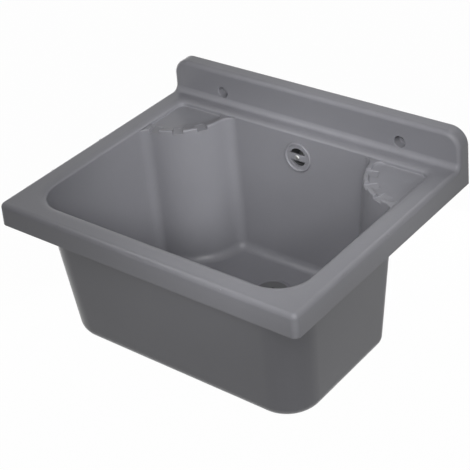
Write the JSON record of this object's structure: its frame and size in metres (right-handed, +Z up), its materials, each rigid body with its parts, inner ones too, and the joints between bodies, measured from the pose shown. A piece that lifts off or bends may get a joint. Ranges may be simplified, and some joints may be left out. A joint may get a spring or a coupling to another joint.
{
  "type": "wall mount utility sink",
  "caption": "Grey plastic wall mount utility sink with an upstand, corner soap ledges with notched lips, a rear overflow, a strainer with a plug, and the waste and overflow hose below.",
  "frame": {"origin": "on the wall plane, midway between the two wall fixing holes", "axes": "+X to the right seen from the front, +Y into the wall, +Z up"},
  "size_m": [0.55, 0.445, 0.383],
  "materials": {
    "grey_plastic": "satin moulded polypropylene with a fine even grain",
    "dark_plastic": "satin dark grey plastic",
    "white_plastic": "satin white polypropylene",
    "hose_plastic": "soft grey plastic",
    "black_rubber": "matt black rubber",
    "grey_rubber": "matt dark grey rubber",
    "steel": "turned stainless steel",
    "chrome": "polished wire",
    "brass": "turned brass"
  },
  "bodies": {
    "sink": {"basin": "grey_plastic", "strainer_flange": "grey_plastic", "strainer_screw": "steel", "strainer_gasket": "black_rubber", "waste_body": "white_plastic", "waste_insert": "brass", "waste_gasket": "black_rubber", "overflow_rosette": "grey_plastic", "overflow_screw": "steel", "overflow_gasket": "black_rubber", "overflow_elbow": "dark_plastic", "overflow_insert": "brass", "overflow_hose": "hose_plastic", "hose_nut_upper": "white_plastic", "hose_nut_lower": "white_plastic", "hose_seal_upper": "black_rubber", "hose_seal_lower": "black_rubber"},
    "plug": {"drain_plug": "grey_rubber"},
    "pull_ring": {"plug_ring": "chrome"}
  },
  "joints": [
    {"name": "plug_lift", "type": "slide", "parent": "sink", "child": "plug", "axis": [0, 0, 1], "range_m": [0, 0.26]},
    {"name": "ring_flip", "type": "hinge", "parent": "plug", "child": "pull_ring", "pos_m": [0, -0.152, -0.2578], "axis": [-1, 0, 0], "range_deg": [0, 187]}
  ]
}
